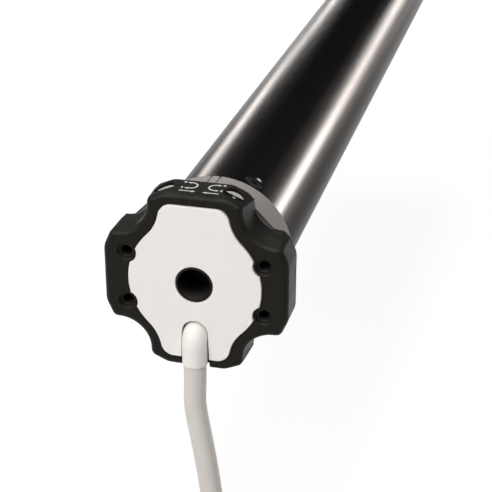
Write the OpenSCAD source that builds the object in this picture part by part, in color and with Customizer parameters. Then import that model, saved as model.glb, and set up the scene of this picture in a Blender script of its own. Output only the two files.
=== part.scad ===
// Tubular roller blind motor with a wired head and two manual limit adjusters.
// Millimetres. +Y runs down the motor's axis, from the head's front face at y = 0 to the output shaft.

/* [Motor tube] */
// Outside diameter of the motor tube
tube_d = 45; // [44:0.5:48]
// Wall of the motor tube
tube_wall = 1.2; // [1:0.1:1.4]
// Place of the screw rings from each end of the tube
tube_screw_y = 9; // [7:0.5:12]
// Angle of the first tube screw, from +X towards +Z
tube_screw_angle = 64; // [55:1:75]
// Head diameter of the countersunk tube screws
screw_head_d = 6.6; // [5.5:0.1:7.2]
// Shank diameter of the tube screws
screw_d = 2.9; // [2.5:0.1:3.5]
// Length of the tube screws
screw_len = 6.5; // [5.5:0.5:7]

/* [Head] */
// Width of the head across opposite lobes
head_w = 60; // [59:0.5:64]
// Depth of the head, from the face plate's front to the lobes' rear
head_depth = 12.5; // [12:0.5:15]
// How far the black rim stands back from the face plate's front
rim_setback = 0.6; // [0.3:0.1:1]
// Angle of the slanted shoulders beside each lobe's flat
slant = 23.8; // [22:0.2:26]
// How much farther the slanted shoulders lie from the axis than the lobes' flats
slant_rise = 1.3; // [1:0.1:2]
// How far each notch's centre lies inside the lobes' flats
notch_in = 4.5; // [4:0.1:5]
// Radius of the notches between the lobes
notch_r = 10.2; // [9.6:0.1:10.8]
// How much smaller the notches' radius is at the head's rear
notch_draft = 1.1; // [0.5:0.1:1.5]
// Radius between a lobe's flat and its shoulders
shoulder_r = 6; // [4:0.5:8]
// Radius of the lobes' corners
corner_r = 2.4; // [2.1:0.1:2.6]
// Radius along the front edge of the lobes
front_round = 1.8; // [1:0.1:2]
// How far the rear flange's diagonal flats lie inside the lobes' flats
web_in = 2.1; // [1.5:0.1:2.5]
// Thickness of the rear flange
web_t = 0.8; // [0.6:0.1:1.2]
// Wall of the hollow spigot inside the tube
spigot_wall = 1.8; // [1.5:0.1:2.2]
// Length of the spigot inside the tube
spigot_len = 20; // [18:1:28]

/* [Face plate] */
// Thickness of the face plate
plate_t = 2; // [1.6:0.1:2.4]
// Width of the black rim above and below the face plate
plate_rim = 3.6; // [3.2:0.1:4.5]
// Radius of the plate's hollow flanks
flank_r = 14.4; // [14:0.1:14.8]
// Radius of the plate's corners
plate_corner_r = 4.3; // [3:0.1:5]
// Diameter of the central bore for a bracket's stud
bore_d = 10.8; // [9:0.1:12]
// Wall of the housing's collar round that bore, flush with the face plate
collar_wall = 0.5; // [0.4:0.1:0.8]
// Depth of the central bore
bore_depth = 10.5; // [8:0.5:11]

/* [Fixing holes] */
// Spacing of the fixing holes across the head
fix_w = 44.8; // [44:0.1:46]
// Spacing of the fixing holes up the head
fix_h = 17.2; // [16:0.1:18]
// Diameter of the fixing holes
fix_d = 3.6; // [3:0.1:4]
// Depth of the fixing holes from the rim
fix_depth = 10; // [8:0.5:10.5]
// Diameter of the shallow rim round each fixing hole
fix_rim_d = 5.6; // [5:0.1:6]
// Depth of that rim
fix_rim_depth = 0.9; // [0.5:0.1:1.4]
// Radius of the plate's scallop round each fixing hole
scallop_r = 3.6; // [3.2:0.1:4]

/* [Limit adjusters] */
// Angle of the adjusters to either side of the vertical
adj_angle = 21.4; // [20:0.2:22]
// Place of the adjusters behind the face
adj_y = 7.3; // [7:0.1:7.6]
// Diameter of an adjuster's disc
adj_d = 6.4; // [6:0.1:6.6]
// Thickness of the disc
adj_t = 2.4; // [2:0.1:3]
// How deep the disc lies under the shoulder
adj_sink = 1; // [0.9:0.1:1.4]
// Diameter of the adjuster's stem
adj_stem_d = 3; // [2.5:0.1:3.5]
// Length of the stem
adj_stem_len = 6; // [5:0.5:7]
// Depth of the half-moon recess that a key turns the disc by
adj_recess = 1.2; // [0.8:0.1:1.4]
// How far that recess reaches past the disc's middle
adj_past = 1; // [0.5:0.1:1.4]
// Width of the small rib in the recess
adj_rib = 0.9; // [0.6:0.1:1.2]
// Straight front edge of the windows, behind the face
window_front = 4.6; // [4.4:0.1:5]

/* [Crown] */
// How far the crown stands out from the motor tube
crown_out = 2.5; // [2.3:0.1:4]
// How far the crown's front flange stands out from the crown
crown_flange_out = 2.3; // [1.5:0.1:2.8]
// Thickness of the front flange
crown_flange_t = 2.5; // [2:0.1:3]
// Length of the crown
crown_len = 16.9; // [16:0.1:20]
// Length of the smooth land that the crown turns on
crown_land = 7.9; // [7:0.1:9]
// Length of the crown's rear lip
crown_lip = 2.7; // [2:0.1:3.2]
// Teeth inside the crown
crown_teeth = 60; // [60:15:60]
// Width of the keys along the crown, each between two grooves
key_w = 2.4; // [2:0.1:3.5]
// Width of the grooves beside the keys
key_groove = 0.6; // [0.4:0.1:0.8]
// Depth of those grooves
key_depth = 0.6; // [0.4:0.1:0.8]

/* [Limit switch unit] */
// Teeth on each spindle's pinion
pinion_teeth = 15; // [15:15:15]
// Diameter of the spindles
spindle_d = 3; // [2.5:0.1:3.2]
// Travel of each nut to either side of its middle
nut_travel = 14; // [12:0.5:16]
// Length of a travelling nut
nut_len = 7; // [6:0.5:8]
// Height of a travelling nut
nut_h = 8; // [6:0.5:10]
// Thickness of the chassis discs
chassis_t = 3; // [2.5:0.5:4]
// Thickness of the chassis web
web_plate_t = 3; // [2:0.5:4]
// Length of a microswitch
switch_w = 12.6; // [11:0.1:12.8]
// Depth of a microswitch, in the way its plunger moves
switch_depth = 6.5; // [6:0.1:7]
// Thickness of a microswitch
switch_t = 5.8; // [5:0.1:6.4]
// Stroke of the plungers
plunger_stroke = 0.6; // [0.4:0.1:0.8]

/* [Capacitor] */
// Wall of the sleeve between the run capacitor and the tube
sleeve_wall = 3.9; // [3:0.1:5]
// Length of the run capacitor
cap_len = 75; // [60:1:90]

/* [Electric motor] */
// Length of the stator core
stator_len = 90; // [60:1:110]
// Bore of the stator core
stator_bore = 23; // [20:0.5:24]
// Slots in the stator core
stator_slots = 12; // [12:6:12]
// Length of the windings past each end of the core
end_turn = 10; // [8:0.5:14]
// Diameter of the rotor shaft
shaft_d = 8; // [7:0.1:8]
// Outside diameter of the ball bearings
bearing_d = 22; // [20:0.5:24]
// Width of the ball bearings
bearing_w = 7; // [6:0.5:8]

/* [Brake] */
// Length of the brake coil
brake_coil_len = 12; // [10:0.5:16]
// Thickness of the brake's armature, disc and plate
brake_t = 3; // [2:0.5:4]
// Stroke of the armature when the brake releases
brake_stroke = 0.4; // [0.3:0.1:0.5]
// Wire of the brake spring
spring_wire = 1.2; // [1:0.1:1.4]

/* [Gearbox] */
// Teeth of the sun pinions
sun_teeth = 9; // [9:3:9]
// Teeth of the planets
planet_teeth = 15; // [15:3:15]
// Planets in each stage
planets = 3; // [3:1:3]
// Length of one planetary stage
stage_len = 20; // [18:0.5:26]
// Width of the planets
planet_w = 12; // [10:0.5:13]
// Wall of the ring gear outside its teeth
ring_wall = 2.6; // [2.2:0.1:3]
// Thickness of the planet carriers
carrier_t = 3.5; // [3:0.5:4]
// Diameter of the planet pins
planet_pin_d = 5; // [4:0.1:6]

/* [Output end] */
// Diameter of the output shaft
output_d = 12; // [10:0.5:13]
// Free length of the output shaft past the end cap
output_len = 22; // [18:1:30]
// Height of the shaft's flat from the axis
output_flat = 5.1; // [5:0.1:5.4]
// Length of the shaft's flat, from the shaft's end
output_flat_len = 8; // [6:0.5:9]
// Length of the end cap inside the tube
end_cap_len = 18; // [16:1:24]
// Flange of the end cap over the tube's end
end_cap_flange = 3; // [2:0.5:5]
// Wall of the output bush
bush_wall = 2; // [1.5:0.1:2.5]

/* [Supply cable] */
// Diameter of the supply cable
cable_d = 7.4; // [7:0.1:7.6]
// Radius of the moulded plug
plug_r = 4.1; // [4:0.1:4.3]
// Height of the plug's axis above the head's lower flat
plug_up = 12.8; // [12:0.1:13]
// How far the cable's axis hangs in front of the face plate's front
cable_out = 0; // [-0.4:0.1:0.4]
// Length of the plug's hanging neck below its elbow
plug_neck = 6.5; // [6:0.1:8]
// Turns in the cable's coil
coil_turns = 7; // [7:1:7]
// Layers in the cable's coil
coil_layers = 4; // [4:1:4]
// Radius of the coil at the middle of its turns
coil_r = 41; // [39:0.5:44]
// Length of the bared insulated cores
core_len = 32; // [20:1:45]
// Length of the bare copper ends
copper_len = 8; // [6:0.5:10]
// Diameter of the insulated cores
core_d = 2.3; // [2:0.1:2.5]

/* [Clearances] */
// Gap round pieces that slide into the tube and into seats
fit = 0.2; // [0.1:0.05:0.25]
// Radial clearance of turning fits
run = 0.06; // [0.04:0.01:0.1]
// Gap between pieces that face each other along the axis
seat = 0.3; // [0.2:0.05:0.4]
// Play between meshing teeth
backlash = 0.16; // [0.12:0.02:0.2]

/* [Hidden] */
$fn = 64;

// Radii that the tube sets
tube_r = tube_d / 2;
tube_in_r = tube_r - tube_wall;
inner_r = tube_in_r - fit;
land_step = 0.3;
land_r = tube_r + land_step;
crown_r = tube_r + crown_out;
cap_r = inner_r - sleeve_wall - fit;

// Distances from the axis that the head's width sets
slant_reach = head_w / 2 + slant_rise;
notch_pos = head_w / 2 - notch_in;
web_reach = head_w / 2 - web_in;
plate_reach = head_w / 2 - plate_rim;
plug_drop = head_w / 2 - plug_up;

// Places down the axis
crown_y = head_depth + seat;
crown_end = crown_y + crown_len;
land_end = crown_y + crown_land - seat;
tube_y = crown_end + seat;
spigot_end = tube_y + spigot_len;
chassis_y = spigot_end + fit;
switch_down_y = chassis_y + chassis_t;
plunger_out = plunger_stroke + 0.4;
nut_mid_y = switch_down_y + switch_depth + plunger_out + seat + nut_travel + nut_len / 2;
switch_up_y = nut_mid_y + nut_travel + nut_len / 2 + seat + plunger_out;
chassis_end = switch_up_y + switch_depth + chassis_t;
piece_gap = 4;
cap_y = chassis_end + piece_gap;
front_shield_y = cap_y + cap_len + piece_gap;
shield_wall = 2;
shield_len = bearing_w + shield_wall;
coil_gap = 1.5;
stator_y = front_shield_y + shield_len + coil_gap + end_turn;
stator_end = stator_y + stator_len;
rear_shield_y = stator_end + end_turn + coil_gap;
brake_y = rear_shield_y + shield_len + shield_wall;
armature_y = brake_y + brake_coil_len + brake_stroke + fit;
brake_disc_y = armature_y + brake_t + seat;
brake_plate_y = brake_disc_y + brake_t + seat;
gearbox_y = brake_plate_y + brake_t + seat;
stages = 3;
gearbox_end = gearbox_y + stages * stage_len;
end_cap_y = gearbox_end + seat;
tube_end = end_cap_y + end_cap_len;
cap_face = tube_end + end_cap_flange;
output_end = cap_face + output_len;

// Frames and plain turned shapes
// A profile drawn in x and y stands in x and z, and is pushed along +Y.
module axial(y = 0, x = 0, z = 0) {
    translate([x, y, z]) rotate([90, 0, 0]) mirror([0, 0, 1]) children();
}

// What is drawn up +Z points outwards from the axis, at an angle from +X towards +Z.
module radial(angle, y) {
    translate([0, y, 0]) rotate([0, 90 - angle, 0]) children();
}

module disc(y0, y1, r) {
    axial(y0) cylinder(r = r, h = y1 - y0);
}

module ring(y0, y1, r_out, r_in) {
    axial(y0) difference() {
        cylinder(r = r_out, h = y1 - y0);
        translate([0, 0, -1]) cylinder(r = r_in, h = y1 - y0 + 2);
    }
}

// Involute teeth with a stub height, so that small pinions need no undercut
pressure = 25;
addendum = 0.8;
dedendum = 1.05;
flank_steps = 4;
function pitch_r(z, m) = z * m / 2;
function involute(a) = tan(a) * 180 / PI - a;
function half_tooth(z, m, thin, r) =
    let (base = pitch_r(z, m) * cos(pressure))
    90 / z - thin / (m * z) * 180 / PI + involute(pressure) - (r > base ? involute(acos(base / r)) : 0);
function flank(z, m, thin, low, high) =
    let (start = max(low, pitch_r(z, m) * cos(pressure) + 0.001))
    concat([[low, half_tooth(z, m, thin, start)]],
        [for (i = [0:flank_steps]) let (r = start + (high - start) * i / flank_steps)
            [r, half_tooth(z, m, thin, r)]]);
function toothed(z, m, thin, low, high) =
    let (side = flank(z, m, thin, low, high), n = len(side))
    [for (k = [0:z - 1]) for (i = [0:2 * n - 1])
        let (p = i < n ? [side[i][0], -side[i][1]] : side[2 * n - 1 - i], a = 360 * k / z + p[1])
        p[0] * [cos(a), sin(a)]];
module gear_2d(z, m) {
    polygon(toothed(z, m, backlash / 2, pitch_r(z, m) - dedendum * m, pitch_r(z, m) + addendum * m));
}
module inner_teeth_2d(z, m) {
    polygon(toothed(z, m, -backlash / 2, pitch_r(z, m) - addendum * m, pitch_r(z, m) + dedendum * m));
}

// Star outline of the head: one half lobe, mirrored and turned eight times
function arc(c, r, a0, a1, n) = [for (i = [0:n]) let (a = a0 + (a1 - a0) * i / n) c + r * [cos(a), sin(a)]];
shoulder_c = let (up = head_w / 2 - shoulder_r)
    [(slant_reach - shoulder_r - up * cos(slant)) / sin(slant), up];
corner_c = let (out = notch_pos - notch_r - corner_r)
    [out, (slant_reach - corner_r - out * sin(slant)) / cos(slant)];
function half_lobe(inset) = concat(
    arc(shoulder_c, shoulder_r - inset, 90, 90 - slant, 3),
    arc(corner_c, corner_r - inset, 90 - slant, 0, 5),
    arc([notch_pos, notch_pos], notch_r + inset, 180, 225, 8));
function mirrored(h, last) = concat(h, [for (i = [last:-1:0]) [h[i][1], h[i][0]]]);
function around(q) = let (n = len(q)) [for (k = [0:3]) for (i = [n - 1:-1:0])
    let (a = 90 * k, p = q[i]) [p[0] * cos(a) - p[1] * sin(a), p[0] * sin(a) + p[1] * cos(a)]];
function star(inset) = let (h = half_lobe(inset)) around(mirrored(h, len(h) - 2));
function blunt() = let (h = half_lobe(0)) around(mirrored([for (i = [0:6]) h[i]], 6));

// Loft through rings of points, closed at both ends
function loft_sides(rings, n) = [for (j = [0:rings - 2]) for (i = [0:n - 1]) let (k = (i + 1) % n)
    [j * n + i, (j + 1) * n + i, (j + 1) * n + k, j * n + k]];
module loft(rings) {
    n = len(rings[0]);
    last = (len(rings) - 1) * n;
    polyhedron(
        points = [for (r = rings) each r],
        faces = concat(loft_sides(len(rings), n),
            [[for (i = [0:n - 1]) i]], [[for (i = [n - 1:-1:0]) last + i]]));
}

// Head housing
round_steps = 5;
round_lead = 0.02;
module star_block() {
    step = 90 / round_steps;
    steep = sin(step) / (1 - cos(step));
    edge = [for (i = [1:round_steps - 1]) let (a = step * i)
        [front_round * (1 - sin(a)), rim_setback + front_round * (1 - cos(a))]];
    front = [front_round + round_lead * steep, rim_setback - round_lead];
    rings = concat([front], edge, [[-round_lead, rim_setback + front_round], [-notch_draft, head_depth + 1]]);
    intersection() {
        axial() loft([for (e = rings) [for (p = star(e[0])) [p[0], p[1], e[1]]]]);
        axial(rim_setback) linear_extrude(head_depth - rim_setback) polygon(blunt());
    }
}

// Outline of the face plate, grown by a gap for its recess: corner, hollow flank, round side
plate_core_r = notch_pos * sqrt(2) - flank_r;
function rest_of(points) = [for (i = [1:len(points) - 1]) points[i]];
function plate_quarter(gap) =
    let (top = plate_reach + gap, flank = flank_r - gap, up = top - plate_corner_r, rise = notch_pos - up,
        out = notch_pos - sqrt((flank + plate_corner_r) ^ 2 - rise ^ 2), lean = atan2(rise, notch_pos - out))
    concat(
        arc([out, up], plate_corner_r, 90, lean, 8),
        rest_of(arc([notch_pos, notch_pos], flank, 180 + lean, 225, 10)),
        rest_of(arc([0, 0], plate_core_r + gap, 45, 0, 10)));
function plate_right(gap) = let (q = plate_quarter(gap))
    concat(q, [for (i = [len(q) - 2:-1:0]) [q[i][0], -q[i][1]]]);
function plate_outline(gap) = let (h = plate_right(gap))
    concat(h, [for (i = [len(h) - 1:-1:0]) [-h[i][0], h[i][1]]]);

module at_fixings() {
    for (x = [-1, 1]) for (z = [-1, 1]) translate([x * fix_w / 2, z * fix_h / 2]) children();
}

module plate_2d(gap = 0) {
    difference() {
        polygon(plate_outline(gap));
        at_fixings() circle(r = scallop_r - gap);
    }
}

// Collar round the bore, that the face plate goes over
collar_r = bore_d / 2 + collar_wall;

// Way out for the cable at the bottom of the face
slot_r = plug_r + fit;
slot_flare = 0.3;
channel_depth = plug_r - cable_out + fit;
module cable_slot_2d(bottom) {
    translate([0, -plug_drop]) circle(r = slot_r);
    polygon([[-slot_r, -plug_drop], [slot_r, -plug_drop],
        [slot_r + slot_flare, -bottom], [-slot_r - slot_flare, -bottom]]);
}

pinion_m = tube_d / crown_teeth;
spindle_x = pitch_r(crown_teeth - pinion_teeth, pinion_m);
pinion_tip = pitch_r(pinion_teeth, pinion_m) + addendum * pinion_m;
teeth_y = land_end + seat;
teeth_end = crown_end - crown_lip;
cavity_y = head_depth + 2;
spindle_seat = 2.8;
head_screw_y = tube_y + tube_screw_y;
end_screw_y = tube_end - tube_screw_y;
boss_r = screw_d / 2 + 2;
boss_in = tube_r - screw_len - 0.5;
adj_stem_bore = adj_d / 2 + fit;

module screw_ring(y) {
    for (k = [0:3]) radial(tube_screw_angle + 90 * k, y) children();
}

module adjuster_pocket() {
    top = slant_reach;
    floor_r = top - adj_sink - adj_t - fit;
    translate([0, 0, floor_r]) cylinder(r = adj_stem_bore, h = top - adj_sink + fit - floor_r);
    intersection() {
        translate([0, 0, floor_r]) cylinder(r = adj_stem_bore, h = top - floor_r + 4);
        translate([-adj_d, window_front - adj_y, floor_r]) cube([2 * adj_d, 2 * adj_d, top]);
    }
    translate([0, 0, floor_r - adj_stem_len]) cylinder(r = adj_stem_d / 2 + run, h = adj_stem_len + 1);
}

module head_housing() {
    color("#2b2a28") difference() {
        union() {
            star_block();
            disc(0, plate_t + 1, collar_r);
            axial(head_depth - web_t - fit) linear_extrude(web_t) intersection() {
                square(2 * (head_w / 2 - front_round), center = true);
                rotate(45) square(2 * web_reach, center = true);
            }
            difference() {
                union() {
                    disc(head_depth - 1, land_end, land_r);
                    disc(head_depth - 1, spigot_end, inner_r);
                }
                disc(cavity_y, spigot_end + 1, inner_r - spigot_wall);
            }
            screw_ring(head_screw_y) translate([0, 0, boss_in])
                cylinder(r = boss_r, h = inner_r - 1 - boss_in);
        }
        axial(-1) linear_extrude(plate_t + 1) difference() {
            plate_2d(fit);
            circle(r = collar_r);
        }
        axial(-1) linear_extrude(channel_depth + 1) cable_slot_2d(head_w / 2 + 1);
        disc(-1, bore_depth, bore_d / 2);
        axial(rim_setback) at_fixings() cylinder(d = fix_d, h = fix_depth);
        axial(rim_setback - 1) at_fixings() cylinder(d = fix_rim_d, h = fix_rim_depth + 1);
        axial(plate_t - 1, 0, -plug_drop) cylinder(r = slot_r, h = bore_depth - plate_t + 1);
        for (side = [-1, 1]) {
            radial(90 + side * adj_angle, adj_y) adjuster_pocket();
            axial(teeth_y, side * spindle_x) cylinder(r = pinion_tip + 2 * fit, h = teeth_end - teeth_y);
            axial(cavity_y - spindle_seat, side * spindle_x)
                cylinder(r = spindle_d / 2 + run, h = spindle_seat + 1);
        }
        screw_ring(head_screw_y) screw_hole();
    }
}

module face_plate() {
    color("#e8e4e0") axial() linear_extrude(plate_t) difference() {
        plate_2d();
        cable_slot_2d(plate_reach + 1);
        circle(r = collar_r + fit);
    }
}

// Moulded plug: a stub in the head's socket, an elbow and a hanging neck
bend_r = plug_r + 0.2;
elbow_y = bend_r - cable_out;
elbow_z = -plug_drop - bend_r;
plug_end_z = elbow_z - plug_neck;
contact_len = 3;
module cable_plug() {
    color("#dedbd6") difference() {
        union() {
            axial(elbow_y, 0, -plug_drop) cylinder(r = plug_r, h = bore_depth - elbow_y - seat);
            translate([0, elbow_y, elbow_z]) rotate([0, 0, 180]) rotate([0, -90, 0]) rotate_extrude(angle = 90)
                translate([bend_r, 0]) circle(r = plug_r);
            translate([0, -cable_out, plug_end_z]) cylinder(r = plug_r, h = plug_neck);
        }
        plug_pins(fit);
    }
}

// Four spring contacts at the inner end of the plug's stub
pin_d = 1.4;
pin_ring = 2.4;
module plug_pins(gap) {
    y = bore_depth - seat - contact_len;
    for (k = [0:3]) axial(y - gap, pin_ring * cos(45 + 90 * k), pin_ring * sin(45 + 90 * k) - plug_drop)
        cylinder(r = pin_d / 2 + gap, h = contact_len + 2 * gap);
}
module plug_contacts() {
    color("#c9a14a") plug_pins(0);
}

// Supply cable: a hanging stretch by hand-chosen points (x, z), then a tied coil
cable_route = [
    [0, -5], [-0.1, -9], [-0.2, -14], [0.3, -19.2], [1.1, -24.2], [2, -29.2], [2.8, -34.2], [3.6, -39.2],
    [4.3, -44.2], [4.9, -49.2], [5.7, -54.2], [7.2, -59], [9.6, -63.4], [12.7, -67.4], [15.6, -70.4]
];
coil_drop = 119;
coil_mid = [3, plug_end_z - coil_drop];
coil_entry = 60;
coil_step = cable_d + 0.8;
layer_turns = coil_turns / coil_layers;
coil_in_r = coil_r - coil_step * layer_turns / 2;
climb_turns = 0.5;
loop_rings = 24;
cable_sides = 10;
coil_sides = 6;
function spiral(t) = let (u = t / layer_turns, k = floor(u), f = u - k) k % 2 == 0 ? 1 - f : f;
function ease(s) = s * s * (3 - 2 * s);
function climbs(t, k = 1) = k == coil_layers ? 0 :
    ease(min(1, max(0, (t - k * layer_turns) / climb_turns + 0.5))) + climbs(t, k + 1);
function coil_point(t) =
    let (r = coil_in_r + coil_step * layer_turns * spiral(t), a = coil_entry - 360 * t)
    [coil_mid[0] + r * cos(a), -cable_out - coil_step * climbs(t), coil_mid[1] + r * sin(a)];
coil_lead = 3;
coil_heading = coil_entry - 90;
heading = [cos(coil_heading), 0, sin(coil_heading)];
coil_turn_points = [for (i = [0:coil_turns * loop_rings]) coil_point(i / loop_rings)];
coil_start = coil_turn_points[0] - cable_d * heading;
coil_last = coil_turn_points[len(coil_turn_points) - 1] + cable_d * heading;
coil_points = concat([coil_start], coil_turn_points, [coil_last]);
cable_points = concat([[0, -cable_out, plug_end_z]],
    [for (p = cable_route) [p[0], -cable_out, plug_end_z + p[1]]],
    [coil_start - coil_lead * heading, coil_start]);

// Least gap between turns that are half a turn or more apart along the cable
coil_gaps = [for (i = [0:len(coil_points) - 1]) for (j = [i + loop_rings / 2:len(coil_points) - 1])
    norm(coil_points[i] - coil_points[j])];
echo(least_gap_of_coil_to_itself = min(coil_gaps) - cable_d);

function unit(v) = v / norm(v);
function along(p, i) = unit(p[min(i + 1, len(p) - 1)] - p[max(i - 1, 0)]);
function tube_ring(c, t, r, sides) = let (across = unit(cross(t, [0, 1, 0])), over = cross(across, t))
    [for (k = [0:sides - 1]) let (a = 360 * k / sides) c + r * (cos(a) * across + sin(a) * over)];
module swept(points, r, sides) {
    loft([for (i = [0:len(points) - 1]) tube_ring(points[i], along(points, i), r, sides)]);
}

module supply_cable() {
    color("#d9d6d1") swept(cable_points, cable_d / 2, cable_sides);
}

module cable_coil() {
    color("#d9d6d1") swept(coil_points, cable_d / 2, coil_sides);
}

// Strap tie round the top of the coil, with its lock block
tie_w = 4.5;
tie_t = 1.4;
tie_lock = [6, 4, 5];
module coil_tie() {
    gap = 2 * fit;
    low = coil_in_r - cable_d / 2 - gap;
    high = coil_in_r + coil_step * layer_turns + cable_d / 2 + gap;
    thick = coil_step * (coil_layers - 1) + cable_d + 2 * gap;
    front = -cable_out + cable_d / 2 + gap - thick;
    color("#222222") translate([coil_mid[0], 0, coil_mid[1]]) difference() {
        union() {
            translate([-tie_w / 2, front - tie_t, low - tie_t])
                cube([tie_w, thick + 2 * tie_t, high - low + 2 * tie_t]);
            translate([-tie_lock[0] / 2, front - tie_lock[1], (low + high) / 2]) cube(tie_lock);
        }
        translate([-tie_w, front, low]) cube([2 * tie_w, thick, high - low]);
    }
}

// Cores at the stripped end of the cable
core_ring = 1.7;
module core_at(k, from, long, d) {
    translate(coil_last + from * heading) rotate([0, 90 - coil_heading, 0])
        translate([core_ring * cos(45 + 90 * k), core_ring * sin(45 + 90 * k), 0]) cylinder(d = d, h = long);
}
module wire_brown() {
    color("#5b3a22") core_at(0, 0, core_len, core_d);
}
module wire_black() {
    color("#1b1b1b") core_at(1, 0, core_len, core_d);
}
module wire_blue() {
    color("#2b5fa8") core_at(2, 0, core_len, core_d);
}
module wire_earth() {
    color("#7fa53a") core_at(3, 0, core_len, core_d);
}
module wire_tips() {
    color("#b8733a") for (k = [0:3]) core_at(k, core_len, copper_len, core_d / 2);
}

// Adjusters under the head's two windows: a disc on a stem, with a half-moon recess and a rib for the key
module limit_adjuster(side) {
    top = slant_reach - adj_sink;
    color("#d8d6d2") radial(90 + side * adj_angle, adj_y) difference() {
        union() {
            translate([0, 0, top - adj_t]) cylinder(d = adj_d, h = adj_t);
            translate([0, 0, top - adj_t - adj_stem_len]) cylinder(d = adj_stem_d, h = adj_stem_len + 1);
        }
        difference() {
            translate([-adj_d, adj_past - 2 * adj_d, top - adj_recess]) cube([2 * adj_d, 2 * adj_d, adj_t]);
            translate([-adj_rib / 2, -adj_d / 4, 0]) cube([adj_rib, adj_d, top - adj_recess / 2]);
        }
    }
}
module limit_adjuster_left() limit_adjuster(1);
module limit_adjuster_right() limit_adjuster(-1);

// Crown: turns on the head's land, and its inner teeth drive the limit spindles
key_angle = 91.8;
module limit_crown() {
    color("#96918e") difference() {
        union() {
            disc(crown_y, crown_y + crown_flange_t, crown_r + crown_flange_out);
            disc(crown_y, crown_end, crown_r);
        }
        disc(crown_y - 1, teeth_y, land_r + run);
        axial(teeth_y - 1) linear_extrude(teeth_end - teeth_y + 1) inner_teeth_2d(crown_teeth, pinion_m);
        disc(teeth_y, crown_end + 1, inner_r + 2 * fit);
        for (k = [0:3]) radial(key_angle + 90 * k, crown_y + crown_flange_t) for (side = [-1, 1])
            translate([(side * (key_w + key_groove) - key_groove) / 2, 0, crown_r - key_depth])
                cube([key_groove, crown_len, 5]);
    }
}

// Motor tube, countersunk for the screws at both ends
head_cone = screw_head_d / 2 - screw_d / 2;
module screw_shape(gap) {
    top = tube_r;
    translate([0, 0, top - head_cone])
        cylinder(r1 = screw_d / 2 + gap, r2 = screw_head_d / 2 + gap, h = head_cone);
    translate([0, 0, top - screw_len]) cylinder(r = screw_d / 2 + gap, h = screw_len - head_cone + 0.1);
}
module screw_hole() {
    screw_shape(0);
    translate([0, 0, boss_in - 1]) cylinder(d = screw_d, h = tube_r - boss_in);
}
module motor_tube() {
    color("#1d1a1a") difference() {
        ring(tube_y, tube_end, tube_r, tube_in_r);
        for (y = [head_screw_y, end_screw_y]) screw_ring(y) {
            screw_shape(fit);
            translate([0, 0, tube_r - 0.01]) cylinder(r = screw_head_d / 2 + fit, h = 2);
        }
    }
}
module head_screws() {
    color("#3a3a3a") screw_ring(head_screw_y) screw_shape(-run);
}
module end_screws() {
    color("#3a3a3a") screw_ring(end_screw_y) screw_shape(-run);
}

// Chassis of the limit switches: two discs joined by a web and two rails
rail_w = 10;
rail_in = 12;
module limit_chassis() {
    color("#d9d4c8") difference() {
        union() {
            disc(chassis_y, chassis_y + chassis_t, inner_r);
            disc(chassis_end - chassis_t, chassis_end, inner_r);
            axial(chassis_y + 1) linear_extrude(chassis_end - chassis_y - 2) intersection() {
                circle(r = inner_r - 2);
                union() {
                    square([web_plate_t, 2 * inner_r], center = true);
                    for (side = [-1, 1]) translate([-rail_w / 2, side > 0 ? rail_in : -inner_r])
                        square([rail_w, inner_r - rail_in]);
                }
            }
        }
        for (side = [-1, 1]) axial(chassis_y - 1, side * spindle_x)
            cylinder(r = spindle_d / 2 + run, h = chassis_end - chassis_y + 2);
    }
}

// Limit spindles, driven by the crown, and the nuts that travel on them
spindle_start = cavity_y - spindle_seat + seat;
pinion_gap = 0.4;
module limit_spindle(side) {
    y0 = teeth_y + pinion_gap;
    color("#c9c4b8") union() {
        axial(spindle_start, side * spindle_x) cylinder(d = spindle_d, h = chassis_end - spindle_start);
        axial(y0, side * spindle_x) rotate(side < 0 ? 180 : 0)
            linear_extrude(teeth_end - pinion_gap - y0) gear_2d(pinion_teeth, pinion_m);
    }
}
module limit_spindle_left() limit_spindle(-1);
module limit_spindle_right() limit_spindle(1);

nut_in = web_plate_t / 2 + seat;
module limit_nut(side) {
    wide = spindle_x + spindle_d - nut_in;
    color("#b5502f") difference() {
        translate([side > 0 ? nut_in : -nut_in - wide, nut_mid_y - nut_len / 2, -nut_h / 2])
            cube([wide, nut_len, nut_h]);
        axial(nut_mid_y - nut_len, side * spindle_x) cylinder(r = spindle_d / 2 + run, h = 2 * nut_len);
    }
}
module limit_nut_left() limit_nut(-1);
module limit_nut_right() limit_nut(1);

// Microswitches at the two ends of the nuts' travel, each with a sprung plunger
plunger_d = 1.8;
plunger_seat = 2;
plunger_x = 6.5;
module microswitch(side, y, face, back) {
    x0 = web_plate_t / 2;
    color("#1f1f1f") difference() {
        translate([side > 0 ? x0 : -x0 - switch_w, y, -switch_t / 2])
            cube([switch_w, switch_depth, switch_t]);
        axial(min(face, back), side * plunger_x)
            cylinder(r = plunger_d / 2 + run, h = abs(face - back));
    }
}
module plunger(side, y) {
    color("#e0c060") axial(y, side * plunger_x) cylinder(d = plunger_d, h = plunger_out + plunger_seat);
}
plunger_well = plunger_seat + plunger_stroke + seat;
module switch_down() microswitch(1, switch_down_y, switch_down_y + switch_depth - plunger_well,
    switch_down_y + switch_depth + 1);
module plunger_down() plunger(1, switch_down_y + switch_depth - plunger_seat);
module switch_up() microswitch(-1, switch_up_y, switch_up_y - 1, switch_up_y + plunger_well);
module plunger_up() plunger(-1, switch_up_y - plunger_out);

// Run capacitor in its insulating sleeve
cap_rim = 1.5;
module run_capacitor() {
    color("#d2d0c8") union() {
        disc(cap_y, cap_y + cap_len, cap_r - cap_rim);
        disc(cap_y + cap_rim, cap_y + cap_len - cap_rim, cap_r);
    }
}
module capacitor_sleeve() {
    color("#4a4a48") ring(cap_y, cap_y + cap_len, inner_r, cap_r + fit);
}

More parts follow.
